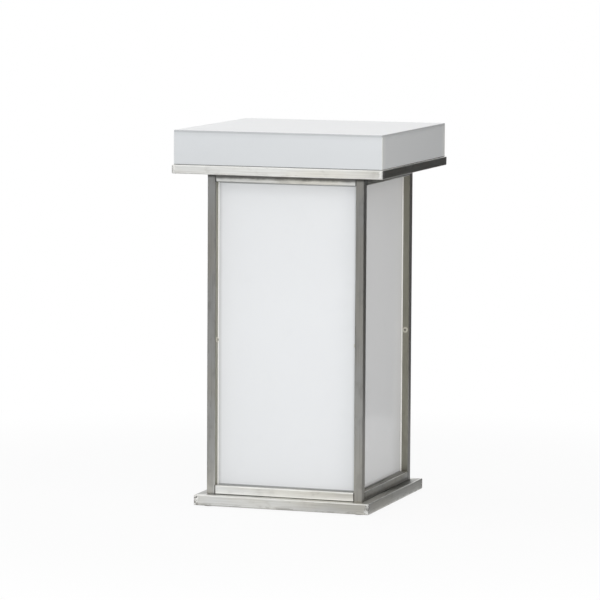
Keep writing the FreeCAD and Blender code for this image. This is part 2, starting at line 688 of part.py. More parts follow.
chips = new_body("light_chips")
chip_face = new_sketch(chips, "XZ", "strip_face")
rectangle(chip_face, "-chip_side / 2", "chip_side / 2", "strip_under + chip_pitch / 2 - chip_side / 2",
          "strip_under + chip_pitch / 2 + chip_side / 2")
grid(chips, pad(chips, chip_face, "chip_height"), [("Z_Axis", "strip_length - chip_pitch", "chip_count")],
     around=4)
chip_plan = new_sketch(chips, "XY", "board_top")
chip_near, chip_far = "-(board_chip_span + chip_side) / 2", "(chip_side - board_chip_span) / 2"
rectangle(chip_plan, chip_near, chip_far, chip_near, chip_far)
grid(chips, pad(chips, chip_plan, "chip_height"),
     [("X_Axis", "board_chip_span", "board_chip_rows"), ("Y_Axis", "board_chip_span", "board_chip_rows")])

# Driver with end caps, terminal block, and the leads between them and the mast
driver = new_body("driver_case")
driver_section = new_sketch(driver, "XZ")
case_west, case_east = "driver_place - driver_width / 2", "driver_place + driver_width / 2"
flange_top = "floor_top + driver_flange_sheet"
flange_west, flange_east = f"{case_west} - driver_flange", f"{case_east} + driver_flange"
case_top = "floor_top + driver_height"
polygon(driver_section, [(flange_west, "floor_top"), (flange_east, "floor_top"), (flange_east, flange_top),
                         (case_east, flange_top), (case_east, case_top), (case_west, case_top),
                         (case_west, flange_top), (flange_west, flange_top)])
driver_block = pad(driver, driver_section, "driver_length", symmetric=True)
on_case_top = lies_at(case_top)
fillet(driver, driver_block, lambda edge: on_case_top(edge) and abs(direction(edge).y) > 0.999,
       "driver_edge")
drill(driver, DRIVER_SCREWS, "screw_hole", flange_top, "driver_flange_sheet")

driver_caps = new_body("driver_end_caps")
for rear in (False, True):
    cap = new_sketch(driver_caps, "XZ", "-driver_length / 2" if rear else "driver_length / 2")
    rounded_rectangle(cap, case_west, case_east, "floor_top", case_top, "driver_edge")
    pad(driver_caps, cap, "driver_cap_sheet", down=rear)
    gland = new_sketch(driver_caps, "XZ", "-(driver_end)" if rear else "driver_end")
    circles(gland, [("driver_place", "lead_level")], "driver_gland")
    pad(driver_caps, gland, "driver_gland_length", down=rear)

terminal = new_body("terminal_block")
terminal_plan = new_sketch(terminal, "XY", "floor_top")
rectangle(terminal_plan, "terminal_place - terminal_length / 2", "terminal_place + terminal_length / 2",
          "lead_reach - terminal_width / 2", "lead_reach + terminal_width / 2")
pad(terminal, terminal_plan, "terminal_height")
drill(terminal, TERMINAL_SCREWS, "screw_hole", "floor_top + terminal_height", "terminal_height")
lead_mouth = new_sketch(terminal, "YZ", "terminal_place + terminal_length / 2")
circles(lead_mouth, [("lead_reach", "lead_level")], "terminal_way")
pocket(terminal, lead_mouth, "terminal_way_depth")

screws("gear_screws", (DRIVER_SCREWS, flange_top, "driver_flange_sheet + floor_sheet"),
       (TERMINAL_SCREWS, "floor_top + terminal_height", "terminal_height + floor_sheet"),
       (CLIP_SCREWS, "floor_top + clip_tab_sheet", "clip_tab_sheet + floor_sheet"))


lead("supply_lead", [("driver_place", "gland_end"), ("driver_place", "lead_reach"),
                     ("terminal_place + terminal_length / 2 - terminal_way_depth", "lead_reach")])
lead("light_lead", [("0", "2 * mast_wall - mast_tube / 2"), ("0", "-lead_reach"),
                    ("driver_place", "-lead_reach"), ("driver_place", "-(gland_end)")])

clip = new_body("lead_clip")
clip_section = new_sketch(clip, "YZ", "clip_place - clip_width / 2")
clip_outer, clip_inner = "-lead_reach - clip_block / 2", "clip_block / 2 - lead_reach"
tab_top, clip_top = "floor_top + clip_tab_sheet", "lead_level + clip_block / 2"
polygon(clip_section, [(clip_outer, "floor_top"), (f"{clip_inner} + clip_tab", "floor_top"),
                       (f"{clip_inner} + clip_tab", tab_top), (clip_inner, tab_top), (clip_inner, clip_top),
                       (clip_outer, clip_top)])
circles(clip_section, [("-lead_reach", "lead_level")], "lead_diameter + 2 * hole_play")
clip_pad = pad(clip, clip_section, "clip_width")
on_clip_top = lies_at(clip_top)
fillet(clip, clip_pad, lambda edge: on_clip_top(edge) and runs_along_x(edge), "clip_wall")
drill(clip, CLIP_SCREWS, "screw_hole", tab_top, "clip_tab_sheet")

# Tray of mitred tube on two cross tubes, loose on the column
for side, turn in SIDES.items():
    mitred_rail(f"tray_rail_{side}", turn, "tray_width", "tray_tube", "column_top", "tray_tube")

for side, turn in (("left", 0), ("right", 180)):
    cross = new_body(f"tray_cross_{side}", turn)
    section = new_sketch(cross, "XZ")
    tube_profile(section, "-cross_spacing / 2 - tray_tube / 2", "tray_tube / 2 - cross_spacing / 2",
                 "column_top", "tray_top", "tube_wall", "tube_corner")
    pad(cross, section, "2 * tray_inner", symmetric=True)

tray_stops = new_body("tray_stops")
stop_plan = new_sketch(tray_stops, "XY", "column_top - tray_stop_height")
stop_near, stop_far = "-cross_spacing / 2 - tray_tube / 2", "tray_tube / 2 - cross_spacing / 2"
tube_profile(stop_plan, stop_near, stop_far, stop_near, stop_far, "tube_wall", "tube_corner")
polar_pattern(tray_stops, [pad(tray_stops, stop_plan, "tray_stop_height")])

locators = new_body("corner_locators")
locator_plan = new_sketch(locators, "XY", "tray_top")
outer, inner, leg = "-(locator_outer)", "locator_sheet - locator_outer", "locator_leg - locator_outer"
polygon(locator_plan, [(outer, outer), (leg, outer), (leg, inner),
                       (inner, inner), (inner, leg), (outer, leg)])
polar_pattern(locators, [pad(locators, locator_plan, "locator_height")])

tray_floor = new_body("tray_floor")
tray_floor_plan = new_sketch(tray_floor, "XY", "tray_top")
rectangle(tray_floor_plan, "-(tray_floor_edge)", "tray_floor_edge", "-(tray_floor_edge)", "tray_floor_edge")
rectangle(tray_floor_plan, "-(light_edge)", "light_edge", "-(light_edge)", "light_edge")
pad(tray_floor, tray_floor_plan, "tray_floor_sheet")

seal = new_body("light_seal")
seal_plan = new_sketch(seal, "XY", "tray_top")
polygon(seal_plan, [("-(seal_outer)", "-(seal_outer)"), ("seal_outer", "-(seal_outer)"),
                    ("box_inner", "-(box_inner)"), ("-(box_inner)", "-(box_inner)")])
polar_pattern(seal, [pad(seal, seal_plan, "seal_thickness")])

# Acrylic box: front and rear sheets overlap the left and right ones, and the top sheet covers all four
table_top = new_body("table_top")
top_plan = new_sketch(table_top, "XY", "box_top - top_sheet")
rounded_rectangle(top_plan, "-top_width / 2", "top_width / 2", "-top_width / 2", "top_width / 2",
                  "sheet_corner")
slab = pad(table_top, top_plan, "top_sheet")
fillet(table_top, slab, lies_at("box_top"), "sheet_edge")

for side, turn in SIDES.items():
    half = "top_width / 2" if side in ("front", "rear") else "box_inner"
    box_side = new_body(f"top_side_{side}", turn)
    face = new_sketch(box_side, "XZ", "box_inner")
    rectangle(face, f"-({half})", half, "box_under", "box_top - top_sheet")
    sheet_pad = pad(box_side, face, "side_sheet")
    if side in ("front", "rear"):
        fillet(box_side, sheet_pad, stands_on_face, "sheet_edge")

doc.recompute()
for item in doc.Objects:
    if {"Invalid", "Error"} & set(item.State):
        raise RuntimeError(f"{item.Name} is {item.State}")

os.makedirs("parts", exist_ok=True)
for label, body in nodes.items():
    shape = body.Shape
    if shape.isNull() or not shape.isValid() or not shape.Solids:
        raise RuntimeError(f"{label} has no valid solid")
    shape.exportStep(f"parts/{label}.step")
    print(f"{label}: {len(shape.Solids)} solid(s), {shape.Volume / 1000:.1f} cm3")
print(len(nodes), "nodes")
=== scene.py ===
"""Looks of an illuminated cocktail table: brushed steel frame, opal acrylic panels and top, light off.

Everything is in metres, in the frame of the CAD parts: +Z up, the front towards -Y, origin on the floor.
"""
import math

import bmesh
import bpy
from mathutils import Matrix, Vector


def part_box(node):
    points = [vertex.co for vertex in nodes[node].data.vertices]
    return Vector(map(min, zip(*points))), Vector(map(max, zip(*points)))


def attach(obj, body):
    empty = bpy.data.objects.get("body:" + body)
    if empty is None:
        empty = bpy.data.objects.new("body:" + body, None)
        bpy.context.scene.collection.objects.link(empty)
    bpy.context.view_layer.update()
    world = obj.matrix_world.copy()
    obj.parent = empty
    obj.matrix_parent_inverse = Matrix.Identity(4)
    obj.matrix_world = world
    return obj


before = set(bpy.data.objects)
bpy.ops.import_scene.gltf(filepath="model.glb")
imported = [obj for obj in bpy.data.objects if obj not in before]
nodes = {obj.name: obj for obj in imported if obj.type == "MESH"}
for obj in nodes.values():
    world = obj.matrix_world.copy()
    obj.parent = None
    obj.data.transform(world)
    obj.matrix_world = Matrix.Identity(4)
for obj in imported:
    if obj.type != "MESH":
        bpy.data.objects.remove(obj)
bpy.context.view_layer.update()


def levels(name):
    """Lowest and highest level of a CAD part."""
    low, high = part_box(name)
    return low.z, high.z


# Places on the table that the finishes and the sealant follow, read from the CAD parts
BASE_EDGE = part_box("base_rail_front")[1].x
BASE_UNDER, BASE_OVER = levels("base_rail_front")
COLUMN_UNDER, COLUMN_OVER = levels("post_front_right")
COLUMN_OPENING, COLUMN_EDGE = (corner.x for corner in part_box("post_front_right"))
OPENING_UNDER, OPENING_OVER = levels("bottom_rail_front")[1], levels("top_rail_front")[0]
PANEL_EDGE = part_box("panel_front")[1].x
PANEL_FACE = -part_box("panel_front")[0].y
PANEL_UNDER, PANEL_OVER = levels("panel_front")
RETAINER_UNDER, RETAINER_OVER = levels("panel_retainers")
RETAINER_LEVEL = (RETAINER_UNDER + RETAINER_OVER) / 2.0
RETAINER_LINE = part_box("panel_retainers")[1].x - (RETAINER_OVER - RETAINER_LEVEL)
TRAY_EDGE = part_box("tray_rail_front")[1].x
TRAY_UNDER, TRAY_OVER = levels("tray_rail_front")
BOX_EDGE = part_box("table_top")[1].x
SHEET_UNDER, SHEET_OVER = levels("table_top")
SHEET_THICK = SHEET_OVER - SHEET_UNDER

# Centre of the vent hole, from the left end and from the top of the front base rail, as the part has it
VENT_INSET = 0.007

# Half the radius of the tubes' round edges
HALF_ROUND = 0.0015

# Grain directions of the brushed tubes
ALONG_X, ALONG_Y, UPRIGHT = 0, 1, 2

# Colours of brushed stainless steel, clean and worn; the olive stands for a dark painted reflection, the
# bright one also gives painted highlights and sheen, and the near-black one also painted shade
COOL, WARM, OLIVE_REFLECTION = (0.66, 0.665, 0.65), (0.655, 0.64, 0.585), (0.45, 0.435, 0.345)
BRIGHT, PALE = (0.91, 0.91, 0.88), (0.72, 0.72, 0.70)
DULL, DARK, GRIME_AND_SHADE = (0.47, 0.46, 0.425), (0.30, 0.29, 0.27), (0.06, 0.055, 0.05)


class Wire:
    """A shader value whose arithmetic adds Math nodes."""

    def __init__(self, shades, socket):
        self.shades = shades
        self.socket = socket

    def math(self, operation, *values):
        """Add one Math node."""
        return self.shades.node("ShaderNodeMath", {"operation": operation}, dict(enumerate(values)))

    def __add__(self, other):
        return self.math("ADD", self, other)

    def __sub__(self, other):
        return self.math("SUBTRACT", self, other)

    def __rsub__(self, other):
        return self.math("SUBTRACT", other, self)

    def __mul__(self, other):
        return self.math("MULTIPLY", self, other)

    def __abs__(self):
        return self.math("ABSOLUTE", self)

    __radd__ = __add__

    def under(self, other):
        """The smaller of two values."""
        return self.math("MINIMUM", self, other)

    def over(self, other):
        """The larger of two values."""
        return self.math("MAXIMUM", self, other)


class Shades:
    """The nodes of one material or of the world."""

    def __init__(self, tree):
        self.tree = tree

    def node(self, kind, settings=(), values=(), output=0):
        """Add one node: its settings first, then the values or links of its sockets."""
        made = self.tree.nodes.new(kind)
        for setting, value in dict(settings).items():
            setattr(made, setting, value)
        for socket, value in dict(values).items():
            self.feed(made.inputs[socket], value)
        return Wire(self, made.outputs[output])

    def feed(self, socket, value):
        """Link a wire to a socket, or set the socket's own value."""
        if isinstance(value, Wire):
            self.tree.links.new(value.socket, socket)
        else:
            socket.default_value = value

    def seen(self):
        """1 for what the camera, a gloss or a clear piece shows, and 0 for what lights other surfaces."""
        camera_ray, glossy_ray, clear_ray = (
            self.node("ShaderNodeLightPath", output=ray)
            for ray in ("Is Camera Ray", "Is Glossy Ray", "Is Transmission Ray"))
        return camera_ray.over(glossy_ray).over(clear_ray)

    def show(self, output, share, lit, shown):
        """Mix two shaders into the output node."""
        mixed = self.node("ShaderNodeMixShader", values={0: share, 1: lit, 2: shown})
        self.feed(self.tree.nodes[output].inputs["Surface"], mixed)


class Finish(Shades):
    """A material with one Principled surface, and the nodes that vary it over the piece."""

    def __init__(self, name, **fixed):
        self.material = bpy.data.materials.new(name)
        self.material.use_nodes = True
        super().__init__(self.material.node_tree)
        self.surface = self.tree.nodes["Principled BSDF"]
        self.place = self.node("ShaderNodeTexCoord", output="Object")
        for socket, value in fixed.items():
            self.give(socket.replace("_", " "), value)

    def give(self, socket, value):
        """Feed one socket of the surface."""
        self.feed(self.surface.inputs[socket], value)

    def axes(self):
        """The three object coordinates."""
        return [self.node("ShaderNodeSeparateXYZ", values={0: self.place}, output=axis)
                for axis in range(3)]

    def noise(self, scale, stretch=(1, 1, 1), detail=2.0, roughness=0.5):
        """Noise between 0 and 1, with so many features in a metre."""
        vector = self.node("ShaderNodeMapping", values={"Vector": self.place, "Scale": stretch})
        return self.node("ShaderNodeTexNoise", values={
            "Vector": vector, "Scale": scale, "Detail": detail, "Roughness": roughness})

    def step(self, value, low, high):
        """Rise from 0 at low to 1 at high; low may be the larger."""
        return self.node("ShaderNodeMapRange", {"interpolation_type": "SMOOTHSTEP"}, {
            "Value": value, "From Min": low, "From Max": high, "To Min": 0.0, "To Max": 1.0})

    def within(self, distance, full, gone):
        """1 up to one distance, fading to 0 at a larger one."""
        return self.step(distance, gone, full)

    def spot(self, across, upward, full, gone):
        """Round spot: 1 up to one radius, fading to 0 at a larger one."""
        return self.within(across * across + upward * upward, full ** 2, gone ** 2)

    def blend(self, share, first, second):
        """Colour between two colours."""
        values = {0: share, 6: first, 7: second}
        return self.node("ShaderNodeMix", {"data_type": "RGBA"}, values, output=2)

    def bump(self, height, depth, strength=1.0):
        """Raise the surface by a height between 0 and 1, times a depth in metres."""
        self.give("Normal", self.node("ShaderNodeBump", values={
            "Strength": strength, "Distance": depth, "Height": height}))


def rgb(red, green, blue):
    """Opaque colour."""
    return (red, green, blue, 1.0)


def toned(colour, tone):
    """Opaque colour, made lighter or darker."""
    return rgb(*(part * tone for part in colour))


def grained(grain, times):
    """Scales that draw a pattern out along the grain, to so many times its length."""
    return [1.0 / times if axis == grain else 1.0 for axis in range(3)]


class BrushedSteel(Finish):
    """Brushed stainless tube: lines along the grain, streaks, cool and warm drift, smudges and nicks."""

    def __init__(self, name, grain, tone=1.0, anisotropy=0.88):
        super().__init__(name, Metallic=1.0, Anisotropic=anisotropy,
                         Anisotropic_Rotation=0.0 if grain == UPRIGHT else 0.25)
        self.grain = grain
        self.tone = tone
        self.x, self.y, self.z = self.axes()
        lines = self.noise(1000.0, grained(grain, 120.0), detail=3.0)
        streaks = self.noise(330.0, grained(grain, 45.0), detail=3.0)
        drift = self.noise(11.0, grained(grain, 2.5), detail=2.0)
        smears = self.noise(38.0, grained(grain, 1.6), detail=5.0, roughness=0.6)
        smudges = self.step(smears, 0.52, 0.70)
        nicks = self.step(self.noise(240.0, grained(grain, 9.0), detail=4.0), 0.66, 0.74)
        self.colour = self.blend(self.step(drift, 0.36, 0.66), toned(COOL, tone), toned(WARM, tone))
        self.rough = 0.29 + lines * 0.10
        self.height = lines * 0.7 + streaks * 0.3
        self.cover(self.step(streaks, 0.55, 0.30) * 0.45, DULL)
        self.cover(smudges * 0.28, DULL, rougher=0.25)
        self.cover(nicks * 0.38, DARK, rougher=0.15)

    def depth(self, frame_edge):
        """Distance behind the outer faces of a square frame, half as wide as given."""
        return frame_edge - abs(self.x).over(abs(self.y))

    def cover(self, share, colour, rougher=0.0):
        """Lay a colour over the steel, and roughen it there."""
        self.colour = self.blend(share, self.colour, toned(colour, self.tone))
        if rougher:
            self.rough = self.rough + share * rougher

    def weld(self, frame_edge, hollows, ground, seam_width):
        """Corners of a mitred frame, half as wide as given, welded and ground to two mottled colours."""
        from_corner = (frame_edge - abs(self.x)).over(frame_edge - abs(self.y))
        ragged = from_corner + (self.noise(120.0, detail=4.0) - 0.5) * 0.022
        worked = self.within(ragged, full=0.007, gone=0.014)
        mottle = self.step(self.noise(210.0, detail=4.0, roughness=0.6), 0.38, 0.58)
        broken = (self.noise(260.0, detail=3.0) - 0.5) * 0.003
        from_seam = abs(abs(self.x) - abs(self.y)) + broken
        seam = self.within(from_seam, full=seam_width * 0.4, gone=seam_width)
        colour = self.blend(mottle, toned(hollows, self.tone), toned(ground, self.tone))
        self.colour = self.blend(worked, self.colour, colour)
        self.rough = self.rough + worked * 0.10
        self.height = self.height * (1.0 - worked) + mottle * worked
        self.cover(seam * 0.7, GRIME_AND_SHADE)

    def wear_and_highlight(self, frame_edge, level):
        """Outer edge of a frame at a level, rubbed bright in places, with a painted highlight along the
        round edge.
        """
        outside = self.within(self.depth(frame_edge), full=0.0030, gone=0.0045)
        uneven = (self.noise(90.0, grained(self.grain, 4.0), detail=3.0) - 0.5) * 0.004
        rubbed_and_highlit = self.within(abs(self.z - level) + uneven, full=0.0014, gone=0.0038)
        self.cover(rubbed_and_highlit * outside * 0.75, BRIGHT)

    def paint_edge_highlight(self, mask):
        """Edges that a mask shows, with a painted highlight in places."""
        worn = self.step(self.noise(34.0, grained(self.grain, 5.0), detail=4.0), 0.40, 0.62)
        self.cover(mask * worn * 0.6, BRIGHT)

    def scuff(self, under):
        """Lower edge of the base, kicked and scraped, and darker along its bottom."""
        above = self.z - under
        kicks = self.noise(75.0, grained(self.grain, 3.0), detail=5.0, roughness=0.65)
        kicked = self.step(kicks, 0.47, 0.60) * self.within(above, full=0.0015, gone=0.0120)
        bottom_band = self.within(above + kicks * 0.004, full=0.0028, gone=0.0052)
        self.cover(kicked * 0.55, DARK, rougher=0.25)
        self.cover(bottom_band * 0.7, DARK, rougher=0.25)

    def soil_and_shade(self, mask):
        """Grime and painted shade in the places that a mask shows."""
        self.cover(mask * 0.85, GRIME_AND_SHADE, rougher=0.25)

    def done(self):
        """The finished material."""
        self.give("Base Color", self.colour)
        self.give("Roughness", self.rough)
        self.bump(self.height, depth=0.00004)
        return self.material


def past_opening(steel):
    """Distance into the posts from the openings between them."""
    return abs(steel.x).under(abs(steel.y)) - COLUMN_OPENING


def inner_faces(steel):
    """Faces of the posts that look at each other, where a dark olive is painted in for what they reflect.
    """
    return steel.within(past_opening(steel), full=0.0004, gone=0.0012)


def column_outside(steel):
    """Outer faces of the column."""
    return steel.within(steel.depth(COLUMN_EDGE), full=0.0018, gone=0.0030)


def ragged_level(steel, scale, detail):
    """Level with an uneven edge, for painted shade and sheen."""
    return steel.z + (steel.noise(scale, detail=detail) - 0.5) * 0.006


def column_foot_and_tray_shade(steel, foot_share, band_depth):
    """Painted shade at the foot of the column and in a band under the tray."""
    foot = steel.within(steel.z - COLUMN_UNDER, full=0.0008, gone=0.0022)
    from_tray = COLUMN_OVER - ragged_level(steel, 60.0, detail=4.0)
    band = steel.within(from_tray, full=band_depth / 2.0, gone=band_depth)
    return (foot * foot_share).over(band * column_outside(steel) * 0.85)


def post_grooves(steel):
    """Painted shade in the grooves beside the butted rails, at the posts' edges, with the column's other
    painted shade.
    """
    beside = steel.within(past_opening(steel), full=0.0012, gone=0.0024)
    inside_opening = (steel.z - OPENING_UNDER).under(OPENING_OVER - steel.z)
    at_rails = steel.within(inside_opening, full=-0.0006, gone=0.0006)
    return (beside * at_rails).over(column_foot_and_tray_shade(steel, foot_share=0.45, band_depth=0.016))


def post_edges(steel):
    """Round upright edges of the posts beside the panels, for a painted highlight."""
    half_width = 0.0014
    from_middle = abs(past_opening(steel) - half_width)
    return steel.within(from_middle, full=0.0005, gone=half_width) * column_outside(steel)


def rail_grooves(steel):
    """Painted shade at the ends of the column's rails, where they meet the posts, with the column's other
    painted shade.
    """
    short_of_post = COLUMN_OPENING - abs(steel.x).under(abs(steel.y))
    ends = steel.within(short_of_post, full=0.0004, gone=0.0016)
    return ends.over(column_foot_and_tray_shade(steel, foot_share=1.0, band_depth=0.019))


def rail_ledge(steel):
    """Upper face of a bottom rail, in front of its panel, for dirt and painted shade."""
    upper = steel.within(abs(steel.z - OPENING_UNDER), full=0.0006, gone=0.0012)
    return upper * (1.0 - column_outside(steel))


def rail_lower_half(steel):
    """Lower half of a bottom rail, for a painted sheen on the front and rear rails and painted shade on
    the side rails.
    """
    above = ragged_level(steel, 40.0, detail=3.0) - COLUMN_UNDER
    return steel.within(above, full=0.003, gone=0.016) * column_outside(steel)


def base_ledge(steel):
    """Upper face of a base rail beside the column, for painted shade on the side rails."""
    return steel.within(BASE_OVER - steel.z, full=0.0003, gone=0.0009)


def vent_hole(steel):
    """Painted shade in the vent hole of the front rail: round its rim, and on the tube's inside behind
    it.
    """
    across, upward = steel.x + (BASE_EDGE - VENT_INSET), steel.z - (BASE_OVER - VENT_INSET)
    rim = steel.spot(across, upward, full=0.0018, gone=0.0026)
    skin = steel.within((steel.y + BASE_EDGE).under(BASE_OVER - steel.z), full=0.0008, gone=0.0012)
    behind = steel.spot(across, upward, full=0.014, gone=0.018) * (1.0 - skin)
    on_front_rail = steel.step(steel.y, 0.0, -0.1)
    return rim.over(behind) * on_front_rail


def opal_acrylic(name, tint, edges, edge_tone):
    """Opal acrylic sheet: glossy, faintly clouded, with hairline marks from wiping, and sawn edges.

    edges gives the masks of dark edges with painted shade, of pale sawn ends with a painted glow, and of
    a face made paler and rougher.
    """
    finish = Finish(name, IOR=1.49)
    dark_edge_and_shade, pale_end_and_glow, paler_upper_face = edges(finish)
    clouds = finish.noise(4.0, detail=2.0)
    wiped = finish.step(finish.noise(60.0, (1.0, 1.0, 0.08), detail=4.0), 0.62, 0.80)
    dusty = finish.step(finish.noise(17.0, detail=5.0, roughness=0.6), 0.55, 0.75)
    colour = finish.blend(clouds, toned(tint, 0.985), toned(tint, 1.01))
    colour = finish.blend(dusty * 0.25, colour, toned(tint, 0.955))
    colour = finish.blend(paler_upper_face * 0.85, colour, rgb(0.92, 0.922, 0.924))
    colour = finish.blend(dark_edge_and_shade, colour, toned(tint, edge_tone))
    colour = finish.blend(pale_end_and_glow, colour, rgb(0.84, 0.86, 0.84))
    finish.give("Base Color", colour)
    marked = 0.10 + wiped * 0.06 + dusty * 0.05
    finish.give("Roughness", marked + dark_edge_and_shade.over(pale_end_and_glow) * 0.25 + paler_upper_face * 0.24)
    finish.bump(finish.noise(9.0, detail=1.0), depth=0.0006, strength=0.25)
    return finish.material


def top_edges(finish):
    """Masks of the table top: dark edge of its sheet with a painted shade band below it, pale sawn ends
    at the sides with a painted glow beside them, and a paler, rougher upper face.
    """
    x, y, z = finish.axes()
    from_side, from_end, under_top = BOX_EDGE - abs(x), BOX_EDGE - abs(y), SHEET_OVER - z
    outside = finish.within(from_side.under(from_end), full=0.0004, gone=0.0010)
    on_side = finish.within(from_side, full=0.0002, gone=0.0008)
    sheet = finish.within(under_top, full=SHEET_THICK - 0.0002, gone=SHEET_THICK + 0.0002)
    # painted shade in a band below the top sheet
    shade = finish.within(under_top, full=SHEET_THICK, gone=SHEET_THICK + 0.014) * 0.25
    sawn = finish.within(from_end, full=SHEET_THICK - 0.0004, gone=SHEET_THICK + 0.0004)
    # painted glow beside the sawn ends of the front and rear sheets
    glow = finish.within(from_end, full=SHEET_THICK, gone=0.045) * 0.35
    upper = finish.within(under_top, full=0.0001, gone=0.0005)
    return sheet.over(shade) * outside, sawn.over(glow) * on_side * (1.0 - sheet), upper


def panel_edges(finish):
    """Masks of a column panel: painted shade along the rails and greyish painted shade along the posts,
    and nothing else.
    """
    x, y, z = finish.axes()
    from_rails = (z - PANEL_UNDER).under(PANEL_OVER - z)
    from_posts = PANEL_EDGE - abs(x).under(abs(y))
    # painted shade in the recess at the rails and along the posts
    at_rails = finish.within(from_rails, full=0.0020, gone=0.0042)
    shade_at_posts = finish.within(from_posts, full=0.0010, gone=0.0130) * 0.36
    nowhere = at_rails * 0.0
    return at_rails.over(shade_at_posts), nowhere, nowhere


def plain_metal(name, colour, roughness, grain=UPRIGHT):
    """Mill-finish or plated metal with faint drawing lines."""
    finish = Finish(name, Metallic=1.0)
    lines = finish.noise(700.0, grained(grain, 50.0), detail=3.0)
    clouds = finish.noise(30.0, detail=3.0)
    finish.give("Base Color", finish.blend(clouds, toned(colour, 0.88), toned(colour, 1.0)))
    finish.give("Roughness", roughness + lines * 0.12)
    finish.bump(lines, depth=0.00003)
    return finish.material


def retainer_plating(name):
    """Dull yellowish zinc on the panel screws, with painted shade in their sockets."""
    finish = Finish(name, Metallic=0.45, Roughness=0.5)
    x, y, z = finish.axes()
    across, upward = abs(x).over(abs(y)) - RETAINER_LINE, z - RETAINER_LEVEL
    # painted shade in the drive socket
    socket = finish.spot(across, upward, full=0.0022, gone=0.0029)
    head = finish.spot(across, upward, full=0.0042, gone=0.0050)
    clouds = finish.noise(300.0, detail=3.0)
    colour = finish.blend(clouds, rgb(0.62, 0.60, 0.52), rgb(0.71, 0.70, 0.62))
    colour = finish.blend(head * 0.30, colour, rgb(0.36, 0.35, 0.29))
    finish.give("Base Color", finish.blend(socket * 0.95, colour, rgb(0.04, 0.04, 0.035)))
    finish.bump(clouds, depth=0.00005)
    return finish.material


def sealant_white(name):
    """White sealant, a little yellowed, with dirt that clings along it."""
    finish = Finish(name)
    waves = finish.noise(70.0, grained(UPRIGHT, 3.0), detail=3.0)
    smears = finish.noise(26.0, grained(UPRIGHT, 4.0), detail=5.0, roughness=0.65)
    dirt_and_shade = finish.step(smears, 0.52, 0.72)
    colour = finish.blend(waves, rgb(0.90, 0.90, 0.87), rgb(0.94, 0.94, 0.93))
    finish.give("Base Color", finish.blend(dirt_and_shade * 0.4, colour, rgb(0.58, 0.56, 0.51)))
    finish.give("Roughness", 0.38 + dirt_and_shade * 0.2)
    finish.bump(waves, depth=0.0004)
    return finish.material


def moulded(name, colour, roughness, grain_size=0.0008, depth=0.00005):
    """Moulded rubber or plastic with a fine texture and a little dust."""
    finish = Finish(name)
    texture = finish.noise(1.0 / grain_size, detail=2.0)
    dust = finish.step(finish.noise(45.0, detail=4.0), 0.48, 0.75)
    dusty = rgb(*(part + (0.55 - part) * 0.18 for part in colour))
    finish.give("Base Color", finish.blend(dust, rgb(*colour), dusty))
    finish.give("Roughness", roughness + texture * 0.12 + dust * 0.06)
    finish.bump(texture, depth)
    return finish.material


def coated_sheet(name, colour):
    """White coated sheet steel with orange peel."""
    finish = Finish(name)
    peel = finish.noise(420.0, detail=2.0)
    marks = finish.step(finish.noise(30.0, detail=5.0), 0.58, 0.72)
    finish.give("Base Color", finish.blend(marks * 0.5, rgb(*colour), toned(colour, 0.86)))
    finish.give("Roughness", 0.36 + peel * 0.12)
    finish.bump(peel, depth=0.00008)
    return finish.material


def circuit_board(name):
    """White solder mask with faint copper tracks under it."""
    finish = Finish(name)
    weave = finish.noise(900.0, detail=1.0)
    tracks = finish.step(finish.noise(160.0, grained(UPRIGHT, 10.0), detail=0.0), 0.53, 0.55)
    finish.give("Base Color", finish.blend(tracks, rgb(0.83, 0.83, 0.80), rgb(0.77, 0.78, 0.72)))
    finish.give("Roughness", 0.32 + weave * 0.1)
    finish.bump(weave * 0.3 + tracks * 0.7, depth=0.00003)
    return finish.material


def light_chip(name):
    """Phosphor-filled chip, unlit."""
    finish = Finish(name)
    crystals = finish.noise(2600.0, detail=2.0)
    finish.give("Base Color", finish.blend(crystals, rgb(0.86, 0.70, 0.22), rgb(0.92, 0.82, 0.42)))
    finish.give("Roughness", 0.25 + crystals * 0.2)
    finish.bump(crystals, depth=0.00003)
    return finish.material


def dress(material, *names):
    """Give one finish to CAD nodes."""
    for name in names:
        mesh = nodes[name].data
        mesh.materials.clear()
        mesh.materials.append(material)


def each(stem, ends):
    """Names of pieces that differ in their ends."""
    return [f"{stem}_{end}" for end in ends]


ACROSS, DEEP = ("front", "rear"), ("left", "right")
CORNERS = ("front_left", "front_right", "rear_right", "rear_left")

# Steel frames; the side rails get painted shade on their ledges and lower halves, and the front and rear
# rails a painted sheen on their lower halves
# painted light: the posts' steel is toned darker, for how dimly their upright grain reflects
post_steel = BrushedSteel("post_steel", UPRIGHT, tone=0.86)
# painted reflection: the posts' inner faces get a dark olive
post_steel.cover(inner_faces(post_steel) * 0.8, OLIVE_REFLECTION)
# painted highlight along the posts' round upright edges
post_steel.paint_edge_highlight(post_edges(post_steel))
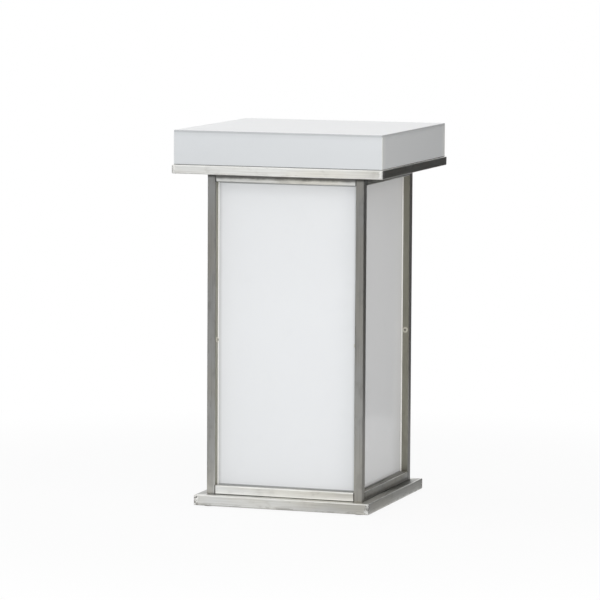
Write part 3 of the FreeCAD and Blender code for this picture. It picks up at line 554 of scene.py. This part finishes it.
# painted shade in the posts' grooves, at their foot and under the tray
post_steel.soil_and_shade(post_grooves(post_steel))
dress(post_steel.done(), *each("post", CORNERS))
RAIL_WAYS = ((ALONG_X, ACROSS, "across", 0.0), (ALONG_Y, DEEP, "deep", 1.0))
for grain, ends, way, side_shade in RAIL_WAYS:
    # painted light: the rails, base and tray are toned lighter than the posts, for how brightly they
    # reflect
    rail_steel = BrushedSteel(f"rail_steel_{way}", grain, tone=1.12)
    # worn edges and painted highlights along the rails' round upper and lower edges
    rail_steel.wear_and_highlight(COLUMN_EDGE, COLUMN_UNDER + HALF_ROUND)
    rail_steel.wear_and_highlight(COLUMN_EDGE, OPENING_UNDER)
    # painted sheen on the lower halves of the front and rear rails; painted shade on the side rails'
    # lower halves, and with some dirt on the ledges; painted shade on the side base rails' upper faces
    painted_sheen, side_lower_shade = 0.6 - 0.6 * side_shade, 0.48 * side_shade
    ledge_dirt_and_shade, base_ledge_shade = 0.25 + 0.55 * side_shade, 0.4 * side_shade
    lower_half = rail_lower_half(rail_steel)
    rail_steel.cover(lower_half * painted_sheen, BRIGHT)
    dirt_and_shade = (rail_ledge(rail_steel) * ledge_dirt_and_shade).over(lower_half * side_lower_shade)
    # painted shade in the rail grooves, at the column's foot and under the tray
    rail_steel.soil_and_shade(rail_grooves(rail_steel).over(dirt_and_shade))
    dress(rail_steel.done(), *each("bottom_rail", ends), *each("top_rail", ends))
    base_steel = BrushedSteel(f"base_steel_{way}", grain, tone=1.0, anisotropy=0.7)
    # painted shade on the upper faces of the side base rails
    base_steel.soil_and_shade(base_ledge(base_steel) * base_ledge_shade)
    base_steel.weld(BASE_EDGE, DARK, BRIGHT, seam_width=0.0009)
    # worn edge and painted highlight along the base's upper edge
    base_steel.wear_and_highlight(BASE_EDGE, BASE_OVER)
    base_steel.scuff(BASE_UNDER)
    if way == "across":
        # painted shade in and behind the vent hole
        base_steel.soil_and_shade(vent_hole(base_steel))
    dress(base_steel.done(), *each("base_rail", ends))
    tray_steel = BrushedSteel(f"tray_steel_{way}", grain, tone=1.09)
    tray_steel.weld(TRAY_EDGE, PALE, BRIGHT, seam_width=0.0024)
    # worn edges and painted highlights along the tray's round lower and upper edges
    tray_steel.wear_and_highlight(TRAY_EDGE, TRAY_UNDER)
    tray_steel.wear_and_highlight(TRAY_EDGE, TRAY_OVER)
    dress(tray_steel.done(), *each("tray_rail", ends))
dress(BrushedSteel("cross_steel", ALONG_Y).done(), *each("tray_cross", DEEP))
dress(BrushedSteel("stop_steel", UPRIGHT, tone=0.9).done(),
      "tray_stops", "corner_locators", "panel_stop_bars", *each("panel_angle", CORNERS))

# Panels, table top and the pieces inside
dress(opal_acrylic("panel_acrylic", (0.865, 0.88, 0.895), panel_edges, edge_tone=0.45),
      *each("panel", ACROSS + DEEP))
dress(opal_acrylic("top_acrylic", (0.691, 0.712, 0.729), top_edges, edge_tone=0.76),
      "table_top", *each("top_side", ACROSS + DEEP))
dress(moulded("black_rubber", (0.035, 0.035, 0.036), roughness=0.62),
      "foot_pads", "cable_bush", "floor_grommet")
dress(moulded("seal_foam", (0.10, 0.10, 0.10), roughness=0.85, grain_size=0.0012, depth=0.0001),
      "light_seal")
dress(coated_sheet("white_sheet", (0.84, 0.845, 0.84)), "floor_plate", "tray_floor")
dress(plain_metal("mill_aluminium", (0.80, 0.80, 0.79), roughness=0.34),
      "light_mast", "mast_foot", "mast_head")
dress(plain_metal("driver_aluminium", (0.74, 0.74, 0.73), roughness=0.38, grain=ALONG_Y), "driver_case")
dress(plain_metal("screw_steel", (0.72, 0.72, 0.70), roughness=0.28),
      "floor_plate_screws", "light_board_screws", "gear_screws")
dress(retainer_plating("retainer_plating"), "panel_retainers")
dress(circuit_board("white_board"), "light_strips", "upper_light_board")
dress(light_chip("phosphor"), "light_chips")
dress(moulded("black_plastic", (0.05, 0.05, 0.052), roughness=0.45), "driver_end_caps", "lead_clip")
dress(moulded("pale_plastic", (0.74, 0.73, 0.67), roughness=0.42), "terminal_block")
dress(moulded("lead_sheath", (0.70, 0.70, 0.69), roughness=0.5), "supply_lead", "light_lead")


def new_piece(name, shape, material):
    """Object at the origin from a finished bmesh."""
    mesh = bpy.data.meshes.new(name)
    shape.to_mesh(mesh)
    shape.free()
    mesh.materials.append(material)
    piece = bpy.data.objects.new(name, mesh)
    bpy.context.scene.collection.objects.link(piece)
    return piece


def sealant_beads():
    """Beads of sealant along both upright edges of every panel, hollow-faced, up to the top rail."""
    leg, hollow = 0.0027, 0.0009
    nook = Vector((COLUMN_OPENING, -PANEL_FACE, PANEL_UNDER))
    toes = (Vector((0.0, 0.0, 0.0)), Vector((-leg, 0.0, 0.0)), Vector((-hollow, -hollow, 0.0)),
            Vector((0.0, -leg, 0.0)))
    shape = bmesh.new()
    section = shape.faces.new([shape.verts.new(nook + toe) for toe in toes])
    raised = bmesh.ops.extrude_face_region(shape, geom=[section])["geom"]
    ends = [part for part in raised if isinstance(part, bmesh.types.BMVert)]
    bmesh.ops.translate(shape, verts=ends, vec=(0.0, 0.0, OPENING_OVER - PANEL_UNDER))
    bmesh.ops.mirror(shape, geom=shape.verts[:] + shape.edges[:] + shape.faces[:], axis="X",
                     merge_dist=-1.0)
    bmesh.ops.spin(shape, geom=shape.verts[:] + shape.edges[:] + shape.faces[:], cent=(0.0, 0.0, 0.0),
                   axis=(0.0, 0.0, 1.0), angle=math.radians(270.0), steps=3, use_duplicate=True)
    bmesh.ops.recalc_face_normals(shape, faces=shape.faces[:])
    piece = new_piece("sealant_beads", shape, sealant_white("sealant_white"))
    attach(piece, "pedestal")


sealant_beads()

# Studio: pale floor, cards that only gloss shows, and soft lamps
WHITE = rgb(1.0, 1.0, 1.0)
FLOOR_WIDTH = 240.0
TABLE_MIDDLE = Vector((0.0, 0.0, 0.55))


def flat_piece(name, corner, first_edge, second_edge, finish):
    """Flat rectangle of the studio on a corner and two edges."""
    first_edge, second_edge = Vector(first_edge), Vector(second_edge)
    centre = Vector(corner) + (first_edge + second_edge) / 2.0
    facing = first_edge.cross(second_edge).normalized()
    turned = Matrix((first_edge, second_edge, facing)).transposed().to_4x4()
    shape = bmesh.new()
    bmesh.ops.create_grid(shape, x_segments=1, y_segments=1, size=0.5)
    bmesh.ops.transform(shape, matrix=Matrix.Translation(centre) @ turned, verts=shape.verts)
    piece = new_piece(name, shape, finish.material)
    return piece


def pale_floor():
    """White to the camera, a little less near the table so that its shadow shows."""
    finish = Finish("pale_floor", Base_Color=rgb(0.86, 0.86, 0.86), Roughness=0.9,
                    Specular_IOR_Level=0.0)
    x, y, _ = finish.axes()
    share = 1.0 - finish.spot(x, y, full=0.707, gone=2.0) * 0.10
    white = finish.node("ShaderNodeEmission", values={"Color": WHITE, "Strength": 1.0})
    lit = Wire(finish, finish.surface.outputs[0])
    finish.show("Material Output", finish.seen() * share, lit, white)
    corner = (-FLOOR_WIDTH / 2.0, -FLOOR_WIDTH / 2.0, 0.0)
    flat_piece("floor", corner, (FLOOR_WIDTH, 0.0, 0.0), (0.0, FLOOR_WIDTH, 0.0), finish)


def card(name, corner, first_edge, second_edge, brightness):
    """Card that only gloss shows."""
    finish = Finish(f"{name}_paper", Base_Color=rgb(0.0, 0.0, 0.0), Specular_IOR_Level=0.0,
                    Emission_Strength=1.0, Emission_Color=rgb(brightness, brightness, brightness))
    piece = flat_piece(name, corner, first_edge, second_edge, finish)
    piece.visible_camera = False
    piece.visible_diffuse = False
    piece.visible_shadow = False
    piece.visible_transmission = False


def graded_card(name, corner, band_edge, second_edge, shades):
    """Cards side by side, one for each shade."""
    for band, brightness in enumerate(shades):
        band_corner = Vector(corner) + Vector(band_edge) * band
        card(f"{name}_{band}", band_corner, band_edge, second_edge, brightness)


def softbox(name, centre, width, power, colour=(1.0, 1.0, 1.0)):
    """Square lamp that faces the table; the cards stand for it in gloss."""
    lamp = bpy.data.lights.new(name, "AREA")
    lamp.size = width
    lamp.energy = power
    lamp.color = colour
    holder = bpy.data.objects.new(name, lamp)
    bpy.context.scene.collection.objects.link(holder)
    holder.location = centre
    holder.rotation_euler = (TABLE_MIDDLE - Vector(centre)).to_track_quat("-Z", "Y").to_euler()
    holder.visible_glossy = False


pale_floor()

# A bright strip stands where the front mirrors the camera, between dark cards
LOW_CARD_LEVEL, CARD_LEVEL = 0.002, 0.004
SLOT_NEAR_LEFT = Vector((-0.33, -0.45, CARD_LEVEL))
SLOT_NEAR_RIGHT = Vector((0.13, -0.265, CARD_LEVEL))
SLOT_FAR_LEFT = Vector((-3.00, -5.79, CARD_LEVEL))
SLOT_FAR_RIGHT = Vector((-1.18, -6.40, CARD_LEVEL))
RIGHT_SLOT_EDGE, SLOT_END = SLOT_FAR_RIGHT - SLOT_NEAR_RIGHT, SLOT_FAR_RIGHT - SLOT_FAR_LEFT
LEFT_REACH, RIGHT_REACH = (-6.0, 0.0, 0.0), (7.0, 0.0, 0.0)
FRONT_RISE, STRIP_RISE = (0.0, 0.0, 1.8), (0.0, 0.0, 2.8)
STRIP_FOOT = Vector((0.0, 0.0, 0.6))
FRONT_DARK, RIGHT_DARK, BLACK, SIDE_FLOOR_DARK = 0.04, 0.06, 0.05, 0.32
RIGHT_FLOOR_GREY, SLOT_SHADES, FOOT_PALE, STRIP_BRIGHT = 0.48, (0.60, 0.72, 0.84), 0.75, 1.6
card("left_floor_card", SLOT_NEAR_LEFT, SLOT_FAR_LEFT - SLOT_NEAR_LEFT, LEFT_REACH, FRONT_DARK)
card("right_floor_card", SLOT_NEAR_RIGHT, RIGHT_SLOT_EDGE, RIGHT_REACH, RIGHT_FLOOR_GREY)
graded_card("shaded_floor_card", SLOT_NEAR_RIGHT, (-0.045, 0.0, 0.0), RIGHT_SLOT_EDGE, SLOT_SHADES)
card("left_front_card", SLOT_FAR_LEFT, LEFT_REACH, FRONT_RISE, FRONT_DARK)
card("right_front_card", SLOT_FAR_RIGHT, RIGHT_REACH, FRONT_RISE, RIGHT_DARK)
card("strip_foot", SLOT_FAR_LEFT, SLOT_END, STRIP_FOOT, FOOT_PALE)
card("bright_strip", SLOT_FAR_LEFT + STRIP_FOOT, SLOT_END, STRIP_RISE, STRIP_BRIGHT)
# The right side mirrors dark cards behind and beside it
card("right_card", (5.8, -6.4, 0.0), (-3.0, 7.3, 0.0), (0.0, 0.0, 1.1), RIGHT_DARK)
card("black_card", (0.42, 1.8, 0.0), (2.38, -0.9, 0.0), (0.0, 0.0, 2.6), BLACK)
card("dark_floor_card", (0.265, -0.3, LOW_CARD_LEVEL), (1.7, 0.0, 0.0), (0.0, 2.3, 0.0), SIDE_FLOOR_DARK)

# Lamps, and a sky that is white to the camera and in gloss
softbox("front_softbox", (1.2, -4.6, 2.2), width=3.0, power=94.0)
softbox("overhead_softbox", (-0.4, -0.2, 4.2), width=2.6, power=30.0)
softbox("right_softbox", (4.0, -1.4, 1.8), width=2.4, power=32.0, colour=(1.0, 0.90, 0.79))
softbox("left_softbox", (-4.2, -0.4, 1.8), width=2.4, power=30.0)
softbox("rear_softbox", (-0.6, 4.6, 1.2), width=3.0, power=40.0)
world = bpy.data.worlds.new("studio")
bpy.context.scene.world = world
world.use_nodes = True
sky = Shades(world.node_tree)
soft_sky = sky.node("ShaderNodeBackground", values={"Color": rgb(0.96, 0.98, 1.0), "Strength": 0.42})
white_sky = sky.node("ShaderNodeBackground", values={"Color": WHITE, "Strength": 1.0})
sky.show("World Output", sky.seen(), soft_sky, white_sky)

# Camera: place and turn from the corner points of the photograph
YAW, PITCH, ROLL = math.radians(18.5), math.radians(-6.075), math.radians(-0.31)
DISTANCE, HEIGHT, ASIDE, FOCAL_PIXELS = 10.904, 1.7222, -0.0304, 3902.4
PICTURE_WIDTH, SENSOR_WIDTH, VIEW_REACH = 600.0, 36.0, 300.0

level_ahead = Vector((-math.sin(YAW), math.cos(YAW), 0.0))
level_right = Vector((math.cos(YAW), math.sin(YAW), 0.0))
ahead = level_ahead * math.cos(PITCH) + Vector((0.0, 0.0, math.sin(PITCH)))
below = ahead.cross(level_right)
right = level_right * math.cos(ROLL) + below * math.sin(ROLL)
camera_data = bpy.data.cameras.new("camera")
camera_data.sensor_width = SENSOR_WIDTH
camera_data.lens = FOCAL_PIXELS * SENSOR_WIDTH / PICTURE_WIDTH
camera_data.clip_end = VIEW_REACH
camera = bpy.data.objects.new("camera", camera_data)
bpy.context.scene.collection.objects.link(camera)
camera.matrix_world = Matrix((right, right.cross(ahead), -ahead)).transposed().to_4x4()
camera.location = level_right * ASIDE - level_ahead * DISTANCE + Vector((0.0, 0.0, HEIGHT))
bpy.context.scene.camera = camera
bpy.context.scene.view_settings.view_transform = "Standard"
